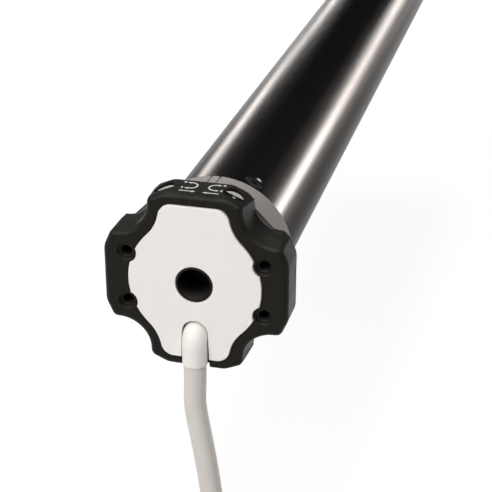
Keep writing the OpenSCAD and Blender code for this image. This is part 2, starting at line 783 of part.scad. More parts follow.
// End shields with the rotor's bearings
module shield(y, out) {
    pocket = out < 0 ? y : y + shield_wall;
    color("#9a9a98") difference() {
        disc(y, y + shield_len, inner_r);
        disc(pocket - (out < 0 ? 1 : 0), pocket + bearing_w + (out < 0 ? 0 : 1), bearing_d / 2 + run);
        disc(y - 1, y + shield_len + 1, shaft_d / 2 + 1);
    }
}
module front_shield() shield(front_shield_y, -1);
module rear_shield() shield(rear_shield_y, 1);
module bearing(y) {
    color("#bfc2c4") ring(y, y + bearing_w, bearing_d / 2, shaft_d / 2 + run);
}
module front_bearing() bearing(front_shield_y);
module rear_bearing() bearing(rear_shield_y + shield_wall);

// Stator core with its slots, and the windings that lie in them
slot_ring = (stator_bore / 2 + inner_r) / 2;
slot_hole = 2.4;
slot_mouth = 1.6;
module at_slots() {
    for (k = [0:stator_slots - 1]) rotate(360 * k / stator_slots) children();
}
module stator_core() {
    color("#6f7274") axial(stator_y) linear_extrude(stator_len) difference() {
        circle(r = inner_r);
        circle(d = stator_bore);
        at_slots() {
            translate([slot_ring, 0]) circle(r = slot_hole);
            translate([0, -slot_mouth / 2]) square([slot_ring, slot_mouth]);
        }
    }
}
module winding_end(y) {
    ring(y, y + end_turn - seat, slot_ring + slot_hole, slot_ring - slot_hole);
}
module stator_winding() {
    color("#b8733a") union() {
        winding_end(stator_y - end_turn);
        winding_end(stator_end + seat);
        axial(stator_y - 2) at_slots() translate([slot_ring, 0, 0])
            cylinder(r = slot_hole - fit, h = stator_len + 4);
    }
}

// Rotor: a caged core on a stepped shaft
air_gap = 0.35;
cage_ring = 6;
shaft_nose = shaft_d / 4;
shaft_start = front_shield_y - seat;
module rotor_core() {
    color("#8d9092") difference() {
        union() {
            disc(stator_y, stator_end, stator_bore / 2 - air_gap);
            disc(stator_y - cage_ring, stator_end + cage_ring, stator_bore / 2 - 1.5);
        }
        disc(stator_y - end_turn, stator_end + end_turn, shaft_d / 2 + run);
    }
}
module rotor_shaft() {
    color("#b9bcbe") union() {
        disc(shaft_start, gearbox_y - seat, shaft_d / 2);
        disc(gearbox_y - 1, gearbox_y + planet_w, shaft_nose);
    }
}

// Brake: a coil pulls the armature off the disc against a spring
hub_gap = 1;
spring_r = shaft_d / 2 + hub_gap + spring_wire;
spring_turns = 4;
spring_rings = 12;
coil_bore = spring_r + spring_wire + hub_gap;
module brake_coil() {
    color("#7a4b2c") union() {
        ring(brake_y, brake_y + brake_coil_len, inner_r, coil_bore);
        ring(brake_y, brake_y + shield_wall, inner_r, shaft_d / 2 + hub_gap);
    }
}
spring_y = brake_y + shield_wall + spring_wire / 2 + run;
spring_rise = armature_y - brake_stroke - run - spring_wire / 2 - spring_y;
module brake_spring() {
    count = spring_turns * spring_rings;
    rings = [for (i = [0:count]) let (a = 360 * i / spring_rings, out = [cos(a), 0, sin(a)])
        [for (k = [0:5]) let (b = 60 * k)
            (spring_r + spring_wire / 2 * cos(b)) * out
                + [0, spring_y + spring_rise * i / count + spring_wire / 2 * sin(b), 0]]];
    color("#a9acae") loft(rings);
}
module brake_armature() {
    color("#8a8d8f") ring(armature_y, armature_y + brake_t, inner_r - 1 + fit, shaft_d / 2 + hub_gap);
}
module brake_disc() {
    color("#6b5a48") ring(brake_disc_y, brake_disc_y + brake_t, inner_r - 3, shaft_d / 2 + run);
}
module brake_plate() {
    color("#8a8d8f") ring(brake_plate_y, brake_plate_y + brake_t, inner_r, shaft_d / 2 + hub_gap);
}

// Planetary gearbox: three like stages in one long ring gear
ring_teeth = sun_teeth + 2 * planet_teeth;
gear_m = (inner_r - ring_wall) / (ring_teeth / 2 + dedendum);
orbit_r = pitch_r(sun_teeth + planet_teeth, gear_m);
carrier_r = pitch_r(ring_teeth, gear_m) - addendum * gear_m - 3 * fit;
planet_gap = 0.1;
function stage_y(s) = gearbox_y + (s - 1) * stage_len + 1;
function carrier_y(s) = stage_y(s) + planet_w + seat;
module ring_gear() {
    color("#77797b") axial(gearbox_y) linear_extrude(gearbox_end - gearbox_y) difference() {
        circle(r = inner_r);
        inner_teeth_2d(ring_teeth, gear_m);
    }
}
module sun_gear() {
    color("#a3a6a8") axial(gearbox_y) linear_extrude(planet_w + 1) difference() {
        gear_2d(sun_teeth, gear_m);
        circle(r = shaft_nose + run);
    }
}
module planet(s, k) {
    a = 360 * k / planets;
    color("#cfc9b6") axial(stage_y(s), orbit_r * cos(a), orbit_r * sin(a)) rotate(a)
        linear_extrude(planet_w) difference() {
            gear_2d(planet_teeth, gear_m);
            circle(d = planet_pin_d);
        }
}
module planet_1a() planet(1, 0);
module planet_1b() planet(1, 1);
module planet_1c() planet(1, 2);
module planet_2a() planet(2, 0);
module planet_2b() planet(2, 1);
module planet_2c() planet(2, 2);
module planet_3a() planet(3, 0);
module planet_3b() planet(3, 1);
module planet_3c() planet(3, 2);

module carrier_plate(s) {
    disc(carrier_y(s), carrier_y(s) + carrier_t, carrier_r);
    for (k = [0:planets - 1]) let (a = 360 * k / planets)
        axial(stage_y(s) + seat, orbit_r * cos(a), orbit_r * sin(a))
            cylinder(d = planet_pin_d - 2 * planet_gap, h = planet_w + 1);
}
module carrier(s) {
    y = carrier_y(s) + carrier_t - 1;
    color("#9b9ea0") union() {
        carrier_plate(s);
        axial(y) linear_extrude(stage_y(s + 1) + planet_w - y) gear_2d(sun_teeth, gear_m);
    }
}
module carrier_1() carrier(1);
module carrier_2() carrier(2);

// Output end: shaft with one flat, its bush, end cap and retaining clip
clip_t = 1.2;
clip_groove = 0.9;
clip_y = cap_face + seat;
module output_shaft() {
    y = carrier_y(stages) + carrier_t - 1;
    color("#b4b6b8") difference() {
        union() {
            carrier_plate(stages);
            disc(y, output_end, output_d / 2);
        }
        ring(clip_y, clip_y + clip_t + fit, output_d, output_d / 2 - clip_groove);
        translate([-output_d, output_end - output_flat_len, output_flat])
            cube([2 * output_d, output_len, output_d]);
    }
}
module output_bush() {
    color("#b08d57") ring(end_cap_y, cap_face, output_d / 2 + bush_wall, output_d / 2 + run);
}
module end_cap() {
    color("#26282a") difference() {
        union() {
            disc(end_cap_y, tube_end, inner_r);
            disc(tube_end + run, cap_face, tube_r);
            disc(tube_end - 1, tube_end + 1, inner_r);
        }
        disc(end_cap_y - 1, cap_face + 1, output_d / 2 + bush_wall + run);
        screw_ring(end_screw_y) screw_hole();
    }
}
module shaft_clip() {
    out = output_d / 2 + 2;
    color("#8f9294") difference() {
        ring(clip_y + fit / 2, clip_y + clip_t + fit / 2, out, output_d / 2 - clip_groove + run);
        translate([-output_d / 4, clip_y - 1, -output_d]) cube([output_d / 2, clip_t + 3, output_d]);
    }
}

head_housing();
face_plate();
cable_plug();
plug_contacts();
supply_cable();
cable_coil();
coil_tie();
wire_brown();
wire_black();
wire_blue();
wire_earth();
wire_tips();
limit_adjuster_left();
limit_adjuster_right();
limit_crown();
motor_tube();
head_screws();
end_screws();
limit_chassis();
limit_spindle_left();
limit_spindle_right();
limit_nut_left();
limit_nut_right();
switch_down();
switch_up();
plunger_down();
plunger_up();
run_capacitor();
capacitor_sleeve();
front_shield();
rear_shield();
front_bearing();
rear_bearing();
stator_core();
stator_winding();
rotor_core();
rotor_shaft();
brake_coil();
brake_spring();
brake_armature();
brake_disc();
brake_plate();
ring_gear();
sun_gear();
planet_1a();
planet_1b();
planet_1c();
carrier_1();
planet_2a();
planet_2b();
planet_2c();
carrier_2();
planet_3a();
planet_3b();
planet_3c();
output_shaft();
output_bush();
end_cap();
shaft_clip();
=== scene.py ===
import math

import bmesh
import bpy
from mathutils import Matrix, Quaternion, Vector


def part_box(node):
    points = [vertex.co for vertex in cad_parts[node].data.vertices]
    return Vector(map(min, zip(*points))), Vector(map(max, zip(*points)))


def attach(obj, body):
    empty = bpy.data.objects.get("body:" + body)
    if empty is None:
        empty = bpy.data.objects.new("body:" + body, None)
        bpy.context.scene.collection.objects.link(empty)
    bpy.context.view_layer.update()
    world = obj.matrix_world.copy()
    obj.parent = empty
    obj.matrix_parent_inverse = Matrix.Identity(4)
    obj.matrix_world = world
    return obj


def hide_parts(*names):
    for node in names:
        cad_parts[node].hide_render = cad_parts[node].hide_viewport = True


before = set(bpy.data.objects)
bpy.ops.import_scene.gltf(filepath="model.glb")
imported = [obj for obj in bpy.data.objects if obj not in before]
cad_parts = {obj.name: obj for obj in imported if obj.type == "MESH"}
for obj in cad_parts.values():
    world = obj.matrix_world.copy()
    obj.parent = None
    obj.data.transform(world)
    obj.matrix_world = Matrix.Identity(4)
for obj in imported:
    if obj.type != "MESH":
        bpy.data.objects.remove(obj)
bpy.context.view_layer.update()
MM = 0.001

# Camera: a long lens in front of the head, to its right and above it, so that the tube runs away
# to the upper right and past the picture's edge.
camera_data = bpy.data.cameras.new("photo_camera")
camera_data.lens = 95.03
camera_data.sensor_width = 36
camera_data.clip_start = 0.01
camera_data.clip_end = 20
photo_camera = bpy.data.objects.new("photo_camera", camera_data)
bpy.context.scene.collection.objects.link(photo_camera)
azimuth, elevation, roll = math.radians(14.39), math.radians(25.50), math.radians(0.18)
back = Vector((math.sin(azimuth) * math.cos(elevation), -math.cos(azimuth) * math.cos(elevation),
               math.sin(elevation)))
level = (-back).cross(Vector((0, 0, 1))).normalized()
upright = level.cross(-back)
right = math.cos(roll) * level + math.sin(roll) * upright
above = math.cos(roll) * upright - math.sin(roll) * level
turn = Matrix((right, above, back)).transposed().to_4x4()
camera_place = (0.10535, -0.34524, 0.18562)
photo_camera.matrix_world = Matrix.Translation(camera_place) @ turn
bpy.context.scene.camera = photo_camera
bpy.context.scene.view_settings.view_transform = "Standard"


# Studio: pale paper under the hanging coil, which shows white and keeps a faint shadow. One soft box
# stands in front on the left and one hangs above. Four strips far behind draw the two long lights on
# the tube, and are kept off the head and the crown.
def plain_mesh(name, points, faces):
    mesh = bpy.data.meshes.new(name)
    mesh.from_pydata(points, [], faces)
    mesh.update()
    made = bpy.data.objects.new(name, mesh)
    bpy.context.scene.collection.objects.link(made)
    return made


def new_material(name):
    made = bpy.data.materials.new(name)
    made.use_nodes = True
    tree = made.node_tree
    return made, tree, tree.nodes["Principled BSDF"]


def add_node(tree, kind, **values):
    made = tree.nodes.new(kind)
    for key, value in values.items():
        setattr(made, key, value)
    return made


def sum_up(tree, kind, first, second, third=None):
    made = add_node(tree, "ShaderNodeMath", operation=kind)
    for socket, given in zip(made.inputs, (first, second, third)):
        if isinstance(given, (int, float)):
            socket.default_value = given
        elif given is not None:
            tree.links.new(given, socket)
    return made.outputs[0]


floor_z, floor_half = -0.206, 6.0
paper_glow = 0.45
floor = plain_mesh("studio_floor", [(x * floor_half, y * floor_half, floor_z)
                                    for x, y in ((-1, -1), (1, -1), (1, 1), (-1, 1))], [(0, 1, 2, 3)])
floor_paint, tree, shader = new_material("studio_paper")
shader.inputs["Base Color"].default_value = (0.88, 0.88, 0.88, 1)
shader.inputs["Roughness"].default_value = 0.9
shader.inputs["Specular IOR Level"].default_value = 0.1
glow = add_node(tree, "ShaderNodeEmission")
glow.inputs["Color"].default_value = (1, 1, 1, 1)
rays = add_node(tree, "ShaderNodeLightPath")
seen = sum_up(tree, "ADD", rays.outputs["Is Camera Ray"], rays.outputs["Is Glossy Ray"])
seen = sum_up(tree, "ADD", seen, rays.outputs["Is Transmission Ray"])
seen = sum_up(tree, "MINIMUM", seen, 1.0)
tree.links.new(sum_up(tree, "MULTIPLY", seen, paper_glow), glow.inputs["Strength"])
both = add_node(tree, "ShaderNodeAddShader")
tree.links.new(shader.outputs[0], both.inputs[0])
tree.links.new(glow.outputs[0], both.inputs[1])
tree.links.new(both.outputs[0], tree.nodes["Material Output"].inputs["Surface"])
floor.data.materials.append(floor_paint)

world = bpy.data.worlds.new("studio_air")
bpy.context.scene.world = world
world.use_nodes = True
air = world.node_tree.nodes["Background"]
air.inputs["Color"].default_value = (1, 1, 1, 1)
air.inputs["Strength"].default_value = 0.09


def soft_box(name, place, aim, size, power, color=(1, 1, 1), tilt=0):
    lamp = bpy.data.lights.new(name, "AREA")
    lamp.shape = "RECTANGLE"
    lamp.size, lamp.size_y = size
    lamp.energy = power
    lamp.color = color
    made = bpy.data.objects.new(name, lamp)
    bpy.context.scene.collection.objects.link(made)
    made.location = place
    made.rotation_mode = "QUATERNION"
    made.rotation_quaternion = ((Vector(aim) - Vector(place)).to_track_quat("-Z", "Y")
                                @ Quaternion((0, 0, 1), math.radians(tilt)))
    return made


soft_box("box_front", (-0.70, -1.10, 0.85), (0, 0.05, 0), (0.8, 0.8), 12.5)
soft_box("box_above", (0.10, -0.5, 1.15), (0, 0.05, 0), (0.7, 0.7), 9.0)
warm = (1, 0.975, 0.955)
strip_y = 2.0
strips = []
for name, x, z, size, power, tilt in (("strip_right_near", 0.56, 0.07, (0.44, 0.15), 7.9, 0),
                                      ("strip_right_far", 1.00, 0.07, (0.44, 0.22), 12.6, 0),
                                      ("strip_left_near", -0.53, 0.13, (0.45, 0.10), 3.6, 17),
                                      ("strip_left_far", -0.97, 0.25, (0.45, 0.20), 10.5, 17)):
    strips.append(soft_box(name, (x, strip_y, z), (x, 0, z), size, power, warm, tilt))

# Supply cable: a round four-core lead in a smooth off-white sheath. It hangs from the elbow plug, and
# the length that isn't in use is wound into a coil of seven turns in four layers.
cable_d = 7.4 * MM
plug_end = Vector((0, 0, -28 * MM))
hang = [(0, -33), (-0.1, -37), (-0.2, -42), (0.3, -47.2), (1.1, -52.2), (2, -57.2), (2.8, -62.2),
        (3.6, -67.2), (4.3, -72.2), (4.9, -77.2), (5.7, -82.2), (7.2, -87), (9.6, -91.4), (12.7, -95.4),
        (15.6, -98.4)]
coil_mid = Vector((3 * MM, 0, -147 * MM))
coil_entry = math.radians(60)
coil_step = cable_d + 0.8 * MM
coil_turns, coil_layers = 7, 4
layer_turns = coil_turns / coil_layers
coil_inner = 41 * MM - coil_step * layer_turns / 2
coil_lead = 3 * MM
climb_turns = 0.5


def coil_point(t):
    layer = math.floor(t / layer_turns)
    share = t / layer_turns - layer
    out = 1 - share if layer % 2 == 0 else share
    radius = coil_inner + coil_step * layer_turns * out
    climbs = 0
    for k in range(1, coil_layers):
        s = min(1, max(0, (t - k * layer_turns) / climb_turns + 0.5))
        climbs += s * s * (3 - 2 * s)
    angle = coil_entry - 2 * math.pi * t
    return coil_mid + Vector((radius * math.cos(angle), -coil_step * climbs, radius * math.sin(angle)))


def through(points, steps):
    line = []
    for i in range(len(points) - 1):
        a, b, c, d = (points[min(max(i + k, 0), len(points) - 1)] for k in (-1, 0, 1, 2))
        for k in range(steps):
            t = k / steps
            line.append(0.5 * (2 * b + (c - a) * t + (2 * a - 5 * b + 4 * c - d) * t ** 2
                               + (3 * b - a - 3 * c + d) * t ** 3))
    return line + [points[-1]]


def drawn_round(name, line, radius, sides=6):
    curve = bpy.data.curves.new(name, "CURVE")
    curve.dimensions = "3D"
    curve.bevel_depth = radius
    curve.bevel_resolution = sides
    curve.use_fill_caps = True
    spline = curve.splines.new("POLY")
    spline.points.add(len(line) - 1)
    for point, place in zip(spline.points, line):
        point.co = (*place, 1)
    spline.use_smooth = True
    made = bpy.data.objects.new(name, curve)
    bpy.context.scene.collection.objects.link(made)
    return made


heading = Vector((math.sin(coil_entry), 0, -math.cos(coil_entry)))
loop_points = 48
turns = [coil_point(i / loop_points) for i in range(coil_turns * loop_points + 1)]
coil_start = turns[0] - cable_d * heading
coil_last = turns[-1] + cable_d * heading
stretch = [plug_end] + [Vector((x * MM, 0, z * MM)) for x, z in hang]
stretch += [coil_start - coil_lead * heading, coil_start]
cable_line = through(stretch, 4) + turns + [coil_last]
supply_lead = drawn_round("supply_lead", cable_line, cable_d / 2)


def shader_group(name, given, made):
    group = bpy.data.node_groups.new(name, "ShaderNodeTree")
    for label, kind, value in given:
        group.interface.new_socket(label, in_out="INPUT", socket_type=kind).default_value = value
    for label, kind in made:
        group.interface.new_socket(label, in_out="OUTPUT", socket_type=kind)
    return group, group.nodes.new("NodeGroupInput"), group.nodes.new("NodeGroupOutput")


def noise(tree, scale, detail=3.0, source=None):
    if source is None:
        source = tree.nodes.new("ShaderNodeTexCoord").outputs["Object"]
    made = add_node(tree, "ShaderNodeTexNoise")
    made.inputs["Detail"].default_value = detail
    tree.links.new(source, made.inputs["Vector"])
    if isinstance(scale, (int, float)):
        made.inputs["Scale"].default_value = scale
    else:
        tree.links.new(scale, made.inputs["Scale"])
    return made.outputs["Fac"]


def moulded_skin():
    group, given, result = shader_group(
        "moulded_skin",
        (("Color", "NodeSocketColor", (0.5, 0.5, 0.5, 1)), ("Roughness", "NodeSocketFloat", 0.4),
         ("Grain per metre", "NodeSocketFloat", 4000), ("Tone change", "NodeSocketFloat", 0.08),
         ("Gloss change", "NodeSocketFloat", 0.25), ("Patches per metre", "NodeSocketFloat", 60)),
        (("Color", "NodeSocketColor"), ("Roughness", "NodeSocketFloat"), ("Height", "NodeSocketFloat")))
    swing = sum_up(group, "SUBTRACT", noise(group, given.outputs["Patches per metre"], 4), 0.5)
    tint = add_node(group, "ShaderNodeVectorMath", operation="SCALE")
    group.links.new(given.outputs["Color"], tint.inputs[0])
    shade = sum_up(group, "MULTIPLY_ADD", swing, given.outputs["Tone change"], 1.0)
    group.links.new(shade, tint.inputs["Scale"])
    group.links.new(tint.outputs[0], result.inputs["Color"])
    gloss = sum_up(group, "MULTIPLY_ADD", swing, given.outputs["Gloss change"], given.outputs["Roughness"])
    group.links.new(gloss, result.inputs["Roughness"])
    group.links.new(noise(group, given.outputs["Grain per metre"]), result.inputs["Height"])
    return group


def edge_wear():
    group, given, result = shader_group(
        "edge_wear", (("Width", "NodeSocketFloat", 0.0003), ("Amount", "NodeSocketFloat", 0.5)),
        (("Mask", "NodeSocketFloat"),))
    round_off = add_node(group, "ShaderNodeBevel", samples=4)
    group.links.new(given.outputs["Width"], round_off.inputs["Radius"])
    face = group.nodes.new("ShaderNodeNewGeometry")
    match = add_node(group, "ShaderNodeVectorMath", operation="DOT_PRODUCT")
    group.links.new(round_off.outputs["Normal"], match.inputs[0])
    group.links.new(face.outputs["Normal"], match.inputs[1])
    bend_gain, scuffs_per_metre = 5.0, 700
    bend = sum_up(group, "MULTIPLY", sum_up(group, "SUBTRACT", 1.0, match.outputs["Value"]), bend_gain)
    patchy = sum_up(group, "MULTIPLY", bend, noise(group, scuffs_per_metre, 4))
    mask = sum_up(group, "MINIMUM", sum_up(group, "MULTIPLY", patchy, given.outputs["Amount"]), 1.0)
    group.links.new(mask, result.inputs["Mask"])
    return group


# Lightens upward faces in patches: partly dust, and partly a painted sheen of light falling from above.
def dust_film():
    group, given, result = shader_group(
        "dust_film", (("Amount", "NodeSocketFloat", 0.1), ("Patches per metre", "NodeSocketFloat", 150)),
        (("Mask", "NodeSocketFloat"),))
    face = group.nodes.new("ShaderNodeNewGeometry")
    parts = group.nodes.new("ShaderNodeSeparateXYZ")
    group.links.new(face.outputs["Normal"], parts.inputs[0])
    up = sum_up(group, "MAXIMUM", parts.outputs["Z"], 0.0)
    patchy = sum_up(group, "MULTIPLY", up, noise(group, given.outputs["Patches per metre"], 5))
    group.links.new(sum_up(group, "MULTIPLY", patchy, given.outputs["Amount"]), result.inputs["Mask"])
    return group


skin_group, wear_group, dust_and_sheen_group = moulded_skin(), edge_wear(), dust_film()


def laid_over(tree, mask, under, color):
    made = add_node(tree, "ShaderNodeMix", data_type="RGBA")
    tree.links.new(mask, made.inputs[0])
    tree.links.new(under, made.inputs[6])
    made.inputs[7].default_value = (*color, 1)
    return made.outputs[2]


# Pale tone of the upward-face film, which is partly dust and partly painted sheen.
dust_and_sheen_color = (0.42, 0.40, 0.37)


def moulded(name, color, roughness, grain=4000, tone=0.08, gloss=0.25, bump=0.15, depth=0.00005, wear=0.0,
            wear_color=None, dust_and_sheen=0.0, metallic=0.0, specular=0.5, patches=60):
    made, tree, shader = new_material(name)
    skin = add_node(tree, "ShaderNodeGroup", node_tree=skin_group)
    skin.inputs["Color"].default_value = (*color, 1)
    skin.inputs["Roughness"].default_value = roughness
    skin.inputs["Grain per metre"].default_value = grain
    skin.inputs["Tone change"].default_value = tone
    skin.inputs["Gloss change"].default_value = gloss
    skin.inputs["Patches per metre"].default_value = patches
    paint = skin.outputs["Color"]
    if wear:
        rubbed = add_node(tree, "ShaderNodeGroup", node_tree=wear_group)
        rubbed.inputs["Amount"].default_value = wear
        paint = laid_over(tree, rubbed.outputs["Mask"], paint, wear_color)
    if dust_and_sheen:
        dust_and_sheen_layer = add_node(tree, "ShaderNodeGroup", node_tree=dust_and_sheen_group)
        dust_and_sheen_layer.inputs["Amount"].default_value = dust_and_sheen
        paint = laid_over(tree, dust_and_sheen_layer.outputs["Mask"], paint, dust_and_sheen_color)
    tree.links.new(paint, shader.inputs["Base Color"])
    tree.links.new(skin.outputs["Roughness"], shader.inputs["Roughness"])
    shader.inputs["Metallic"].default_value = metallic
    shader.inputs["Specular IOR Level"].default_value = specular
    bumps = add_node(tree, "ShaderNodeBump")
    bumps.inputs["Strength"].default_value = bump
    bumps.inputs["Distance"].default_value = depth
    tree.links.new(skin.outputs["Height"], bumps.inputs["Height"])
    tree.links.new(bumps.outputs["Normal"], shader.inputs["Normal"])
    return made


sheath_pvc = moulded("cable_sheath_pvc", (0.68, 0.64, 0.595), 0.45, grain=1500, tone=0.06, bump=0.1)
supply_lead.data.materials.append(sheath_pvc)

# Coil tie: a black nylon strap with cross ribs, pulled through its own square lock in front of the
# turns, with its cut tail hanging from the lock.
tie_room = 0.4 * MM
tie_half, tie_t = 2.25 * MM, 1.15 * MM
tie_low = coil_inner - cable_d / 2 - tie_room
tie_high = coil_inner + coil_step * layer_turns + cable_d / 2 + tie_room
tie_back = cable_d / 2 + tie_room
tie_front = tie_back - coil_step * (coil_layers - 1) - cable_d - 2 * tie_room
tie_corner, corner_steps = 3.4 * MM, 6
tie_path = []
for cy, cz, first in ((tie_back, tie_high, 0), (tie_front, tie_high, 90), (tie_front, tie_low, 180),
                      (tie_back, tie_low, 270)):
    mid_y = cy - math.copysign(tie_corner, cy - (tie_back + tie_front) / 2)
    mid_z = cz - math.copysign(tie_corner, cz - (tie_high + tie_low) / 2)
    for k in range(corner_steps + 1):
        a = math.radians(first + 90 * k / corner_steps)
        tie_path.append((mid_y + tie_corner * math.cos(a), mid_z + tie_corner * math.sin(a),
                         math.cos(a), math.sin(a)))
rib_pitch, rib_height = 0.75 * MM, 0.22 * MM
strap_rings = []
for here, there in zip(tie_path, tie_path[1:] + tie_path[:1]):
    pieces = max(1, round(math.hypot(there[0] - here[0], there[1] - here[1]) / rib_pitch))
    for k in range(pieces):
        t = k / pieces
        strap_rings.append([a + (b - a) * t for a, b in zip(here, there)])
tie_points, tie_faces = [], []
side_t, top_half = 0.6 * tie_t, 0.86
for i, (y, z, ny, nz) in enumerate(strap_rings):
    top = tie_t + (rib_height if i % 2 else 0)
    strap_section = ((-1, 0), (-1, side_t), (-top_half, top), (top_half, top), (1, side_t), (1, 0))
    for x, out in strap_section:
        tie_points.append(coil_mid + Vector((x * tie_half, y + out * ny, z + out * nz)))
count, corners = len(strap_rings), len(strap_section)
for i in range(count):
    j = (i + 1) % count
    for k in range(corners):
        m = (k + 1) % corners
        tie_faces.append((corners * i + k, corners * i + m, corners * j + m, corners * j + k))
coil_strap = plain_mesh("coil_strap", tie_points, tie_faces)
form = bmesh.new()
form.from_mesh(coil_strap.data)


def soft_block(form, low, high, rounding):
    middle, size = (low + high) / 2, high - low
    stretched = Matrix.Translation(middle) @ Matrix.Diagonal((*size, 1))
    made = bmesh.ops.create_cube(form, size=1, matrix=stretched)
    edges = list({edge for corner in made["verts"] for edge in corner.link_edges})
    bmesh.ops.bevel(form, geom=edges, offset=rounding, segments=3, affect="EDGES", profile=0.5)


lock_z = (tie_low + tie_high) / 2
lock_half, lock_out, lock_gap, lock_height = 3 * MM, 4 * MM, 0.1 * MM, 5 * MM
tail_half, tail_out, tail_in, tail_drop, tail_held = 2.2 * MM, 3.1 * MM, 1.9 * MM, 8 * MM, 0.8 * MM
soft_block(form, coil_mid + Vector((-lock_half, tie_front - lock_out, lock_z)),
           coil_mid + Vector((lock_half, tie_front - lock_gap, lock_z + lock_height)), 0.6 * MM)
soft_block(form, coil_mid + Vector((-tail_half, tie_front - tail_out, lock_z - tail_drop)),
           coil_mid + Vector((tail_half, tie_front - tail_in, lock_z + tail_held)), 0.35 * MM)
bmesh.ops.recalc_face_normals(form, faces=form.faces)
form.to_mesh(coil_strap.data)
form.free()
tie_nylon = moulded("tie_nylon", (0.022, 0.022, 0.022), 0.38, grain=3000, bump=0.12, wear=0.6,
                    wear_color=(0.10, 0.10, 0.10))
coil_strap.data.materials.append(tie_nylon)
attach(coil_strap, "head")
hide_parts("coil_tie")

# Cores: the sheath is cut back, and four insulated cores with stripped ends fan out of it, each with
# seven twisted copper strands for the installer's terminals. The earth core is green with yellow stripes.
core_len, core_d, copper_len = 32 * MM, 2.3 * MM, 8 * MM
core_ring, core_sunk, core_steps = 1.7 * MM, 1.5 * MM, 16
core_fan, fan_change = 2.6 * MM, 0.7 * MM
side_a = Vector((0, 1, 0))
side_b = heading.cross(side_a).normalized()
stripe_side, stripe_edge = (side_a + side_b).normalized(), 0.7
core_pieces, core_ends = [], []


def core_pvc(name, color):
    return moulded("core_pvc_" + name, color, 0.4, grain=2500, tone=0.1, bump=0.08)


def striped(core, line, material):
    mesh = bpy.data.meshes.new_from_object(core.evaluated_get(bpy.context.evaluated_depsgraph_get()))
    mesh.name = name = core.name
    bpy.data.objects.remove(core)
    mesh.materials.append(material)
    for face in mesh.polygons:
        out = face.center - min(line, key=lambda p: (p - face.center).length)
        out -= out.dot(heading) * heading
        face.material_index = int(abs(out.normalized().dot(stripe_side)) > stripe_edge)
    made = bpy.data.objects.new(name, mesh)
    bpy.context.scene.collection.objects.link(made)
    return made


for k, (name, color, slot) in enumerate((("brown", (0.105, 0.042, 0.016), "core_brown"),
                                         ("black", (0.011, 0.011, 0.011), "core_black"),
                                         ("blue", (0.024, 0.115, 0.390), "core_blue"),
                                         ("earth", (0.040, 0.240, 0.042), "core_earth"))):
    a = math.radians(45 + 90 * k)
    away = math.cos(a) * side_a + math.sin(a) * side_b
    fan = core_fan + fan_change * (k % 2)
    line = []
    for i in range(core_steps + 1):
        t = i / core_steps
        spread = core_ring + fan * t * t * (3 - 2 * t)
        line.append(coil_last + (t * core_len - core_sunk * (1 - t)) * heading + spread * away)
    core = drawn_round("core_" + name, line, core_d / 2, 4)
    core.data.materials.append(core_pvc(name, color))
    if name == "earth":
        core = striped(core, line, core_pvc("yellow", (0.66, 0.50, 0.03)))
    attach(core, "head")
    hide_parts("wire_" + name)
    core_pieces.append(core)
    core_ends.append((line[-1], (line[-1] - line[-2]).normalized()))


def growing_tree(name, sockets):
    tree = bpy.data.node_groups.new(name, "GeometryNodeTree")
    known = {}
    for label, kind in sockets:
        known[label] = tree.interface.new_socket(label, in_out="INPUT", socket_type=kind).identifier
    tree.interface.new_socket("Geometry", in_out="OUTPUT", socket_type="NodeSocketGeometry")
    return tree, known, tree.nodes.new("NodeGroupInput"), tree.nodes.new("NodeGroupOutput")


def grown(name, tree, known, values):
    host = plain_mesh(name, [], [])
    growth = host.modifiers.new("growth", "NODES")
    growth.node_group = tree
    for label, value in values.items():
        growth[known[label]] = value
    mesh = bpy.data.meshes.new_from_object(host.evaluated_get(bpy.context.evaluated_depsgraph_get()))
    host.modifiers.remove(growth)
    host.data = mesh
    mesh.name = name
    return host


strand_tree, strand_known, given, result = growing_tree(
    "strand_bundle", (("Strands", "NodeSocketInt"), ("Bundle radius", "NodeSocketFloat"),
                      ("Strand radius", "NodeSocketFloat"), ("Length", "NodeSocketFloat"),
                      ("Turns", "NodeSocketFloat"), ("Finish", "NodeSocketMaterial")))
link = strand_tree.links.new
helix = add_node(strand_tree, "GeometryNodeCurveSpiral")
helix.inputs["Resolution"].default_value = 24
for label, socket in (("Bundle radius", "Start Radius"), ("Bundle radius", "End Radius"),
                      ("Length", "Height"), ("Turns", "Rotations")):
    link(given.outputs[label], helix.inputs[socket])
section = add_node(strand_tree, "GeometryNodeCurvePrimitiveCircle")
section.inputs["Resolution"].default_value = 8
link(given.outputs["Strand radius"], section.inputs["Radius"])


def strand_along(line):
    skinned = add_node(strand_tree, "GeometryNodeCurveToMesh")
    skinned.inputs["Fill Caps"].default_value = True
    link(line, skinned.inputs["Curve"])
    link(section.outputs[0], skinned.inputs["Profile Curve"])
    return skinned.outputs[0]


seats = add_node(strand_tree, "GeometryNodePoints")
link(given.outputs["Strands"], seats.inputs["Count"])
share = sum_up(strand_tree, "DIVIDE", 2 * math.pi, given.outputs["Strands"])
around = sum_up(strand_tree, "MULTIPLY", add_node(strand_tree, "GeometryNodeInputIndex").outputs[0], share)
swivel = add_node(strand_tree, "FunctionNodeAxisAngleToRotation")
link(around, swivel.inputs["Angle"])
placed = add_node(strand_tree, "GeometryNodeInstanceOnPoints")
link(seats.outputs[0], placed.inputs["Points"])
link(strand_along(helix.outputs[0]), placed.inputs["Instance"])
link(swivel.outputs[0], placed.inputs["Rotation"])
straight = add_node(strand_tree, "GeometryNodeCurvePrimitiveLine")
rise = add_node(strand_tree, "ShaderNodeCombineXYZ")
link(given.outputs["Length"], rise.inputs["Z"])
link(rise.outputs[0], straight.inputs["End"])
together = add_node(strand_tree, "GeometryNodeJoinGeometry")
link(placed.outputs[0], together.inputs[0])
link(strand_along(straight.outputs[0]), together.inputs[0])
real = add_node(strand_tree, "GeometryNodeRealizeInstances")
link(together.outputs[0], real.inputs[0])
